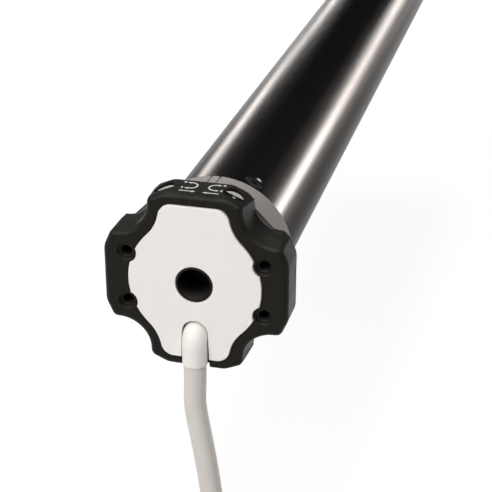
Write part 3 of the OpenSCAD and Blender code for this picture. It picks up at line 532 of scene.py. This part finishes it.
paint = add_node(strand_tree, "GeometryNodeSetMaterial")
link(real.outputs[0], paint.inputs["Geometry"])
link(given.outputs["Finish"], paint.inputs["Material"])
link(paint.outputs[0], result.inputs[0])

copper = moulded("bare_copper", (0.72, 0.34, 0.18), 0.32, grain=6000, tone=0.25, bump=0.05, metallic=1.0)
strand_sunk = 1 * MM
core_strands = grown("core_strands", strand_tree, strand_known,
                     {"Strands": 6, "Bundle radius": 0.40 * MM, "Strand radius": 0.19 * MM,
                      "Length": copper_len + strand_sunk, "Turns": 0.7, "Finish": copper})
one_end = core_strands.data
form = bmesh.new()
for place, ahead in core_ends:
    start = len(form.verts)
    form.from_mesh(one_end)
    form.verts.ensure_lookup_table()
    turn = ahead.to_track_quat("Z", "Y").to_matrix().to_4x4()
    set_in = Matrix.Translation(place - strand_sunk * ahead) @ turn
    bmesh.ops.transform(form, matrix=set_in, verts=form.verts[start:])
for face in form.faces:
    face.smooth = True
form.to_mesh(one_end)
form.free()
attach(core_strands, "head")
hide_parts("wire_tips")
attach(supply_lead, "head")
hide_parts("supply_cable", "cable_coil")


# Head housing: one moulding in black glass-filled nylon, a four-lobed star with a recess for the plate,
# two windows in its shoulders and a collar round the bore. Its fine grain is slightly polished on the rims.
def dressed(node, name, material, body, rounding=0.0, keep=None, inlay=None, inlaid=None):
    crease, flat, same_spot = math.radians(32), math.radians(0.2), 0.002 * MM
    form = bmesh.new()
    form.from_mesh(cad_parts[node].data)
    bmesh.ops.remove_doubles(form, verts=form.verts, dist=same_spot)
    bmesh.ops.dissolve_limit(form, angle_limit=flat, verts=form.verts, edges=form.edges)
    form.normal_update()
    weight = form.edges.layers.float.new("bevel_weight_edge")
    for edge in form.edges:
        if len(edge.link_faces) == 2 and edge.calc_face_angle(0) > crease:
            if keep is None or keep((edge.verts[0].co + edge.verts[1].co) / 2):
                edge[weight] = 1.0
    for face in form.faces:
        face.smooth = True
        face.material_index = 1 if inlay and inlaid(face.calc_center_median(), face.normal) else 0
    mesh = bpy.data.meshes.new(name)
    form.to_mesh(mesh)
    form.free()
    for label in ("custom_normal", "sharp_face"):
        if label in mesh.attributes:
            mesh.attributes.remove(mesh.attributes[label])
    mesh.set_sharp_from_angle(angle=crease)
    mesh.materials.append(material)
    if inlay:
        mesh.materials.append(inlay)
    made = bpy.data.objects.new(name, mesh)
    bpy.context.scene.collection.objects.link(made)
    if rounding:
        rim = made.modifiers.new("rounded_rims", "BEVEL")
        rim.limit_method = "WEIGHT"
        rim.width = rounding
        rim.segments = 2
        rim.use_clamp_overlap = False
    even = made.modifiers.new("even_shading", "WEIGHTED_NORMAL")
    even.keep_sharp = True
    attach(made, body)
    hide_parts(node)
    return made


# The housing's upward-face film is set high, so that its tops carry a painted sheen from above as well as
# dust.
housing_nylon = moulded("housing_nylon", (0.0054, 0.0048, 0.0036), 0.42, grain=2200, tone=0.7, bump=0.28,
                        depth=0.00008, wear=0.2, wear_color=(0.035, 0.034, 0.031), dust_and_sheen=0.12, specular=0.14,
                        patches=220)
housing_nylon.node_tree.nodes["Principled BSDF"].inputs["Specular Tint"].default_value = (1, 0.96, 0.86, 1)
# The web behind the notches has the crown's grey acetal, painted darker as painted shade of the deep notches.
web_grey = moulded("web_grey", (0.135, 0.127, 0.121), 0.55, grain=4500, tone=0.06, bump=0.08, dust_and_sheen=0.02,
                   specular=0.25)
web_y, web_reach = 11.5 * MM, 39 * MM
flange_y, collar_r = 12.6 * MM, 11 * MM


def on_web(place, facing):
    ahead = abs(place.y - web_y) < 0.05 * MM and facing.y < -0.9
    aslant = place.y > web_y - 0.1 * MM and abs(facing.y) < 0.1 and abs(abs(facing.x) - abs(facing.z)) < 0.02
    return ahead or (aslant and abs(place.x) + abs(place.z) > web_reach)


star_head = dressed("head_housing", "star_head", housing_nylon, "head", 0.18 * MM,
                    lambda p: p.y < flange_y and math.hypot(p.x, p.z) > collar_r, web_grey, on_web)
flagged = bpy.data.collections.new("kept_from_the_strips")
for strip in strips:
    strip.light_linking.receiver_collection = flagged


def keep_from_strips(made):
    flagged.objects.link(made)
    flagged.collection_objects[-1].light_linking.link_state = "EXCLUDE"


keep_from_strips(star_head)

# Face plate: a white ABS plate pressed into the housing's recess. Its outline follows the star, and it is
# pierced for the bore's collar, the four fixing holes and the plug. The front is left bare.
plate_abs = moulded("plate_abs", (0.87, 0.825, 0.79), 0.42, grain=3000, tone=0.025, bump=0.05, wear=0.15,
                    wear_color=(0.90, 0.87, 0.84))
plate_front = 0.2 * MM
dressed("face_plate", "front_plate", plate_abs, "head", 0.25 * MM, lambda p: p.y < plate_front)

# Cable plug: an elbow of white PVC moulded over the cable's end, pushed into the socket under the bore,
# with four brass contacts in its rear face.
plug_pvc = moulded("plug_pvc", (0.87, 0.84, 0.80), 0.42, grain=2500, tone=0.04, bump=0.08, wear=0.15,
                   wear_color=(0.92, 0.90, 0.87))
dressed("cable_plug", "elbow_plug", plug_pvc, "head", 0.25 * MM)


def finish(nodes, material):
    for name in nodes.split():
        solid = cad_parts[name]
        solid.data.materials.clear()
        solid.data.materials.append(material)


def turning_marks():
    group, given, result = shader_group(
        "turning_marks",
        (("Color", "NodeSocketColor", (0.6, 0.6, 0.6, 1)), ("Roughness", "NodeSocketFloat", 0.3),
         ("Rings per metre", "NodeSocketFloat", 4000), ("Along", "NodeSocketVector", (0.03, 1, 0.03))),
        (("Color", "NodeSocketColor"), ("Roughness", "NodeSocketFloat"), ("Height", "NodeSocketFloat")))
    place = group.nodes.new("ShaderNodeTexCoord")
    along = add_node(group, "ShaderNodeVectorMath", operation="MULTIPLY")
    group.links.new(place.outputs["Object"], along.inputs[0])
    group.links.new(given.outputs["Along"], along.inputs[1])
    stains_per_metre, ring_tone, stain_tone, stain_gloss = 90, 0.25, 0.15, 0.3
    rings = noise(group, given.outputs["Rings per metre"], 2, along.outputs[0])
    stain = sum_up(group, "SUBTRACT", noise(group, stains_per_metre, 4), 0.5)
    shade = sum_up(group, "MULTIPLY_ADD", sum_up(group, "SUBTRACT", rings, 0.5), ring_tone, 1.0)
    shade = sum_up(group, "MULTIPLY_ADD", stain, stain_tone, shade)
    tint = add_node(group, "ShaderNodeVectorMath", operation="SCALE")
    group.links.new(given.outputs["Color"], tint.inputs[0])
    group.links.new(shade, tint.inputs["Scale"])
    group.links.new(tint.outputs[0], result.inputs["Color"])
    gloss = sum_up(group, "MULTIPLY_ADD", stain, stain_gloss, given.outputs["Roughness"])
    group.links.new(gloss, result.inputs["Roughness"])
    group.links.new(rings, result.inputs["Height"])
    return group


marks_group = turning_marks()


def turned(name, color, roughness, rings=4000, bump=0.08):
    made, tree, shader = new_material(name)
    marks = add_node(tree, "ShaderNodeGroup", node_tree=marks_group)
    marks.inputs["Color"].default_value = (*color, 1)
    marks.inputs["Roughness"].default_value = roughness
    marks.inputs["Rings per metre"].default_value = rings
    tree.links.new(marks.outputs["Color"], shader.inputs["Base Color"])
    tree.links.new(marks.outputs["Roughness"], shader.inputs["Roughness"])
    shader.inputs["Metallic"].default_value = 1.0
    bumps = add_node(tree, "ShaderNodeBump")
    bumps.inputs["Strength"].default_value = bump
    bumps.inputs["Distance"].default_value = 0.00003
    tree.links.new(marks.outputs["Height"], bumps.inputs["Height"])
    tree.links.new(bumps.outputs["Normal"], shader.inputs["Normal"])
    return made


finish("plug_contacts", turned("contact_brass", (0.72, 0.55, 0.25), 0.3))

# Limit adjusters: two small acetal discs that are turned through the windows with a stick. Each has a
# half-moon recess with a rib for it, and the recess's floor and front step are painted dark as painted shade.
adjuster_acetal = moulded("adjuster_acetal", (0.66, 0.64, 0.61), 0.36, grain=5000, tone=0.05, bump=0.05,
                          wear=0.2, wear_color=(0.78, 0.76, 0.73))
# Painted shade for the adjusters' recesses: a near-black colour laid on the recess's floor and front step.
recess_dark = moulded("recess_dark", (0.022, 0.020, 0.018), 0.6, grain=3000, bump=0.1, specular=0.2)
recess_floor, recess_step_y = 29.1 * MM, 8.3 * MM


def in_recess(place, facing):
    on_floor = facing.z > 0.9 and abs(place.dot(facing) - recess_floor) < 0.1 * MM
    on_step = facing.y < -0.9 and abs(place.y - recess_step_y) < 0.15 * MM
    return on_floor or on_step


for side in ("left", "right"):
    dressed("limit_adjuster_" + side, "adjuster_disc_" + side, adjuster_acetal, "adjuster_" + side,
            0.12 * MM, inlay=recess_dark, inlaid=in_recess)

# Signs: white ink pad-printed on the head's upper flat, to show which adjuster sets which end and which
# way to turn it. Two curved double arrows, plus and minus marks, and two arrows towards the middle.
print_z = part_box("head_housing")[1][2]
ink_sunk, ink_proud = 0.02 * MM, 0.03 * MM
arc_y, arc_r, arc_half_w = 8.5, 2.1, 0.27
arc_steps, arc_step = 18, 5.2
plus_x, plus_y, stroke = 0.5, 0.65, 0.22
plus_up, minus_down, mark_out = 2.3, 2.0, 2.3
plus = [(-plus_x, -stroke), (-stroke, -stroke), (-stroke, -plus_y), (stroke, -plus_y), (stroke, -stroke),
        (plus_x, -stroke), (plus_x, stroke), (stroke, stroke), (stroke, plus_y), (-stroke, plus_y),
        (-stroke, stroke), (-plus_x, stroke)]
minus = [(-0.24, -0.7), (0.24, -0.7), (0.24, 0.7), (-0.24, 0.7)]
bar_y, bar_half_w, tip_half_w, tip_len = 4.1, 0.25, 0.65, 1.3
signs = []


def arrow_head(x, y, angle, size):
    c, s = math.cos(math.radians(angle)), math.sin(math.radians(angle))
    return [(x + size * (0.75 * c * ahead - 0.5 * s * side), y + size * (0.75 * s * ahead + 0.5 * c * side))
            for ahead, side in ((1, 0), (-0.35, 1), (-0.35, -1))]


def arc_line(x, y, radius, angles):
    return [(x + radius * math.cos(a), y + radius * math.sin(a)) for a in angles]


for side, arc_x, tail, tip in ((-1, -3.0, -5.6, -0.3), (1, 5.0, 7.1, 1.9)):
    arc = [math.radians(90 + side * 90 + k * arc_step) for k in range(-arc_steps, arc_steps + 1)]
    signs.append(arc_line(arc_x, arc_y, arc_r + arc_half_w, arc)
                 + arc_line(arc_x, arc_y, arc_r - arc_half_w, reversed(arc)))
    for up in (-1, 1):
        signs.append(arrow_head(arc_x + side * 0.6, arc_y + up * arc_r, 90 - side * 90, tip_len))
    mark_x = arc_x + side * mark_out
    signs.append([(mark_x + x, arc_y + plus_up + y) for x, y in plus])
    signs.append([(mark_x + x, arc_y - minus_down + y) for x, y in minus])
    neck = tip + side * tip_len
    low, high = bar_y - bar_half_w, bar_y + bar_half_w
    signs.append([(tail, low), (neck, low), (neck, bar_y - tip_half_w), (tip, bar_y),
                  (neck, bar_y + tip_half_w), (neck, high), (tail, high)])
sign_points, sign_faces = [], []
for outline in signs:
    area = sum(a[0] * b[1] - b[0] * a[1] for a, b in zip(outline, outline[1:] + outline[:1]))
    if area < 0:
        outline = outline[::-1]
    base, n = len(sign_points), len(outline)
    for z in (-ink_sunk, ink_proud):
        sign_points += [(x * MM, y * MM, print_z + z) for x, y in outline]
    sign_faces.append(tuple(range(base + n, base + 2 * n)))
    sign_faces.append(tuple(range(base + n - 1, base - 1, -1)))
    sign_faces += [(base + i, base + (i + 1) % n, base + n + (i + 1) % n, base + n + i) for i in range(n)]
printed_signs = plain_mesh("printed_signs", sign_points, sign_faces)
white_ink = moulded("white_ink", (0.72, 0.71, 0.69), 0.5, grain=5000, tone=0.2, bump=0.1)
printed_signs.data.materials.append(white_ink)
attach(printed_signs, "head")

# Limit crown: a grey acetal ring that the blind's tube turns by its four keys. It runs on the head's land,
# and its inner teeth drive the two limit spindles.
crown_acetal = moulded("crown_acetal", (0.43, 0.392, 0.370), 0.60, grain=4500, tone=0.06, bump=0.08, wear=0.3,
                       wear_color=(0.50, 0.47, 0.45), dust_and_sheen=0.03, specular=0.25)
teeth_r = 20.5 * MM
keep_from_strips(dressed("limit_crown", "limit_ring", crown_acetal, "crown", 0.2 * MM,
                         lambda p: math.hypot(p.x, p.z) > teeth_r))

# Motor tube: a drawn steel tube of 45 mm under smooth baked black enamel. It is countersunk for four
# screws at each end, and everything that moves sits inside it.
tube_enamel = moulded("tube_enamel", (0.112, 0.107, 0.104), 0.24, grain=5000, tone=0.05, gloss=0.05, bump=0.02,
                      depth=0.00001, metallic=1.0)
tube_enamel.node_tree.nodes["Principled BSDF"].inputs["Specular Tint"].default_value = (0.34, 0.34, 0.34, 1)
dressed("motor_tube", "motor_barrel", tube_enamel, "head")

# Tube screws: black countersunk screws with cross recesses, four into the head's spigot and four into
# the end cap, driven until their heads lie just below the tube's surface.
screw_head_r, screw_shank_r = 3.2, 1.35
screw_depth, screw_len, screw_rim, screw_point = 1.9, 6.0, 0.2, 0.5
screw_sides = 32
form = bmesh.new()


def screw_ring(r, z):
    around = [2 * math.pi * k / screw_sides for k in range(screw_sides)]
    return [form.verts.new((r * MM * math.cos(a), r * MM * math.sin(a), z * MM)) for a in around]


rings = [screw_ring(r, z) for r, z in (
    (screw_head_r - screw_rim, 0), (screw_head_r, -0.14), (screw_shank_r + 0.1, -screw_depth),
    (screw_shank_r, -screw_depth - 0.3), (screw_shank_r, 0.8 - screw_len), (screw_point, -screw_len))]
for upper, lower in zip(rings, rings[1:]):
    for k in range(screw_sides):
        m = (k + 1) % screw_sides
        form.faces.new((upper[k], lower[k], lower[m], upper[m]))
form.faces.new(rings[-1][::-1])
wing, reach, pit_depth, pit_share = 0.36, 1.75, 1.3, 0.55
cross = [(wing, wing), (wing, reach), (-wing, reach), (-wing, wing), (-reach, wing), (-reach, -wing),
         (-wing, -wing), (-wing, -reach), (wing, -reach), (wing, -wing), (reach, -wing), (reach, wing)]
mouth = [form.verts.new((x * MM, y * MM, 0)) for x, y in cross]
pit = [form.verts.new((pit_share * x * MM, pit_share * y * MM, -pit_depth * MM)) for x, y in cross]
for k in range(len(cross)):
    m = (k + 1) % len(cross)
    form.faces.new((mouth[k], mouth[m], pit[m], pit[k]))
form.faces.new(pit)
rim = [form.edges.get((rings[0][k], rings[0][(k + 1) % screw_sides])) for k in range(screw_sides)]
rim += [form.edges.get((mouth[k], mouth[(k + 1) % len(cross)])) for k in range(len(cross))]
bmesh.ops.triangle_fill(form, use_beauty=True, use_dissolve=False, edges=rim)
bmesh.ops.remove_doubles(form, verts=form.verts, dist=1e-7)
bmesh.ops.recalc_face_normals(form, faces=form.faces)
for face in form.faces:
    face.smooth = True
screw_mesh = bpy.data.meshes.new("one_screw")
form.to_mesh(screw_mesh)
form.free()
screw_mesh.set_sharp_from_angle(angle=math.radians(30))
one_screw = bpy.data.objects.new("one_screw", screw_mesh)
bpy.context.scene.collection.objects.link(one_screw)

ring_tree, ring_known, given, result = growing_tree(
    "tube_screws", (("Screw", "NodeSocketObject"), ("Count", "NodeSocketInt"), ("Reach", "NodeSocketFloat"),
                    ("Place", "NodeSocketFloat"), ("First angle", "NodeSocketFloat"),
                    ("Finish", "NodeSocketMaterial")))
link = ring_tree.links.new
step = sum_up(ring_tree, "DIVIDE", 2 * math.pi, given.outputs["Count"])
angle = sum_up(ring_tree, "MULTIPLY_ADD", add_node(ring_tree, "GeometryNodeInputIndex").outputs[0], step,
               given.outputs["First angle"])
outward = add_node(ring_tree, "ShaderNodeCombineXYZ")
link(sum_up(ring_tree, "COSINE", angle, None), outward.inputs["X"])
link(sum_up(ring_tree, "SINE", angle, None), outward.inputs["Z"])
spot = add_node(ring_tree, "ShaderNodeVectorMath", operation="SCALE")
link(outward.outputs[0], spot.inputs[0])
link(given.outputs["Reach"], spot.inputs["Scale"])
along = add_node(ring_tree, "ShaderNodeCombineXYZ")
link(given.outputs["Place"], along.inputs["Y"])
seat = add_node(ring_tree, "ShaderNodeVectorMath", operation="ADD")
link(spot.outputs[0], seat.inputs[0])
link(along.outputs[0], seat.inputs[1])
seats = add_node(ring_tree, "GeometryNodePoints")
link(given.outputs["Count"], seats.inputs["Count"])
link(seat.outputs[0], seats.inputs["Position"])
stand = add_node(ring_tree, "FunctionNodeAlignRotationToVector", axis="Z")
link(outward.outputs[0], stand.inputs["Vector"])
chance = add_node(ring_tree, "FunctionNodeRandomValue", data_type="FLOAT")
chance.inputs[3].default_value = math.pi
chance.inputs["Seed"].default_value = 7
spin = add_node(ring_tree, "FunctionNodeAxisAngleToRotation")
link(chance.outputs[1], spin.inputs["Angle"])
driven = add_node(ring_tree, "FunctionNodeRotateRotation", rotation_space="LOCAL")
link(stand.outputs[0], driven.inputs[0])
link(spin.outputs[0], driven.inputs[1])
pattern = add_node(ring_tree, "GeometryNodeObjectInfo")
pattern.inputs["As Instance"].default_value = True
link(given.outputs["Screw"], pattern.inputs["Object"])
placed = add_node(ring_tree, "GeometryNodeInstanceOnPoints")
link(seats.outputs[0], placed.inputs["Points"])
link(pattern.outputs["Geometry"], placed.inputs["Instance"])
link(driven.outputs[0], placed.inputs["Rotation"])
real = add_node(ring_tree, "GeometryNodeRealizeInstances")
link(placed.outputs[0], real.inputs[0])
paint = add_node(ring_tree, "GeometryNodeSetMaterial")
link(real.outputs[0], paint.inputs["Geometry"])
link(given.outputs["Finish"], paint.inputs["Material"])
link(paint.outputs[0], result.inputs[0])

# The lighter rims of the screw heads are partly wear and partly a painted glint.
black_steel = moulded("black_steel", (0.11, 0.107, 0.104), 0.34, grain=5000, tone=0.2, bump=0.05,
                      metallic=1.0, wear=0.5, wear_color=(0.40, 0.39, 0.38))
tube_r, screw_sunk = 22.5, 0.4
first_screw = math.radians(64)
for name, node, place in (("spigot_screws", "head_screws", 39.0), ("cap_screws", "end_screws", 414.6)):
    screws = grown(name, ring_tree, ring_known,
                   {"Screw": one_screw, "Count": 4, "Reach": (tube_r - screw_sunk) * MM, "Place": place * MM,
                    "First angle": first_screw, "Finish": black_steel})
    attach(screws, "head")
    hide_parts(node)
bpy.data.objects.remove(one_screw)

# Limit unit: a natural nylon chassis with two nylon spindles, red nuts and two microswitches, all slid
# into the tube behind the head. The spindles' pinions reach into the crown.
finish("limit_chassis", moulded("chassis_nylon", (0.62, 0.60, 0.54), 0.45, tone=0.06, bump=0.1))
finish("limit_spindle_left limit_spindle_right",
       moulded("spindle_nylon", (0.70, 0.69, 0.66), 0.35, bump=0.06))
finish("limit_nut_left limit_nut_right", moulded("nut_acetal", (0.48, 0.05, 0.04), 0.38, bump=0.06))
finish("switch_down switch_up", moulded("switch_phenolic", (0.018, 0.018, 0.018), 0.35, bump=0.15))
finish("plunger_down plunger_up", moulded("plunger_acetal", (0.68, 0.50, 0.06), 0.35, bump=0.05))

# Capacitor: a round run capacitor in a pale grey plastic can, wrapped in a foam sleeve that holds it in
# the tube.
finish("run_capacitor", moulded("capacitor_can", (0.58, 0.58, 0.57), 0.35, tone=0.04, bump=0.04))
finish("capacitor_sleeve", moulded("sleeve_foam", (0.10, 0.10, 0.10), 0.9, grain=1800, tone=0.25, bump=0.6,
                                   depth=0.0003))


# Motor: an induction motor of pressed steel sheets and lacquered copper, on two ball bearings in cast
# aluminium shields.
def noise_tint(tree, color):
    skin = add_node(tree, "ShaderNodeGroup", node_tree=skin_group)
    skin.inputs["Color"].default_value = (*color, 1)
    skin.inputs["Tone change"].default_value = 0.2
    return skin.outputs["Color"]


def stacked_sheets(name, color, pitch):
    made, tree, shader = new_material(name)
    place = tree.nodes.new("ShaderNodeTexCoord")
    lines = add_node(tree, "ShaderNodeTexWave", wave_type="BANDS", bands_direction="Y", wave_profile="SIN")
    lines.inputs["Scale"].default_value = math.pi / (10 * pitch)
    lines.inputs["Distortion"].default_value = 0.4
    tree.links.new(place.outputs["Object"], lines.inputs["Vector"])
    seam_power, seam_color = 6.0, (0.06, 0.055, 0.05)
    seam = sum_up(tree, "POWER", lines.outputs["Fac"], seam_power)
    tree.links.new(laid_over(tree, seam, noise_tint(tree, color), seam_color), shader.inputs["Base Color"])
    tree.links.new(sum_up(tree, "MULTIPLY_ADD", lines.outputs["Fac"], 0.2, 0.3), shader.inputs["Roughness"])
    shader.inputs["Metallic"].default_value = 1.0
    bumps = add_node(tree, "ShaderNodeBump")
    bumps.inputs["Strength"].default_value = 0.3
    bumps.inputs["Distance"].default_value = 0.0001
    tree.links.new(lines.outputs["Fac"], bumps.inputs["Height"])
    tree.links.new(bumps.outputs["Normal"], shader.inputs["Normal"])
    return made


finish("stator_core rotor_core", stacked_sheets("core_sheets", (0.42, 0.42, 0.43), 0.5 * MM))
finish("stator_winding brake_coil", stacked_sheets("lacquered_wire", (0.62, 0.25, 0.10), 0.45 * MM))
finish("front_shield rear_shield", turned("cast_aluminium", (0.70, 0.71, 0.72), 0.42, rings=2500, bump=0.15))
finish("front_bearing rear_bearing", turned("bearing_steel", (0.62, 0.62, 0.62), 0.18))
finish("rotor_shaft", turned("ground_steel", (0.58, 0.58, 0.58), 0.25, rings=6000))

# Brake: a spring presses the zinc-plated armature on the friction disc, which rides on the rotor's
# shaft, until the coil's magnet pulls it off.
finish("brake_spring brake_armature brake_plate", turned("zinc_steel", (0.55, 0.56, 0.55), 0.32))
finish("brake_disc", moulded("friction_lining", (0.16, 0.13, 0.10), 0.85, grain=1500, tone=0.3, bump=0.5,
                             depth=0.0002))

# Gearbox: three planetary stages in one broached steel sleeve. The planets are moulded in nylon and
# run on the pins of hobbed steel carriers.
gear_steel = turned("gear_steel", (0.50, 0.50, 0.50), 0.3)
finish("ring_gear sun_gear carrier_1 carrier_2", gear_steel)
finish("planet_1a planet_1b planet_1c planet_2a planet_2b planet_2c planet_3a planet_3b planet_3c",
       moulded("planet_nylon", (0.62, 0.60, 0.53), 0.4, bump=0.08))

# Output end: a black nylon cap closes the tube and holds the bronze bush. The turned shaft with its flat
# drives the blind's wheel, and a spring clip keeps it in place.
cap_nylon = moulded("cap_nylon", (0.022, 0.022, 0.021), 0.45, grain=2200, tone=0.12, bump=0.25, depth=0.00008,
                    wear=0.35, wear_color=(0.09, 0.09, 0.085))
cap_face, shaft_out = 426 * MM, 428 * MM
drive_steel = turned("drive_steel", (0.60, 0.60, 0.60), 0.28)
bush_bronze = turned("bush_bronze", (0.62, 0.42, 0.18), 0.35)
clip_steel = turned("clip_steel", (0.42, 0.42, 0.43), 0.3)
dressed("end_cap", "closing_cap", cap_nylon, "head", 0.3 * MM, lambda p: p.y > cap_face)
dressed("output_shaft", "drive_shaft", drive_steel, "output", 0.25 * MM,
        lambda p: p.y > shaft_out)
dressed("output_bush", "bronze_bush", bush_bronze, "head")
dressed("shaft_clip", "spring_clip", clip_steel, "output", 0.1 * MM)
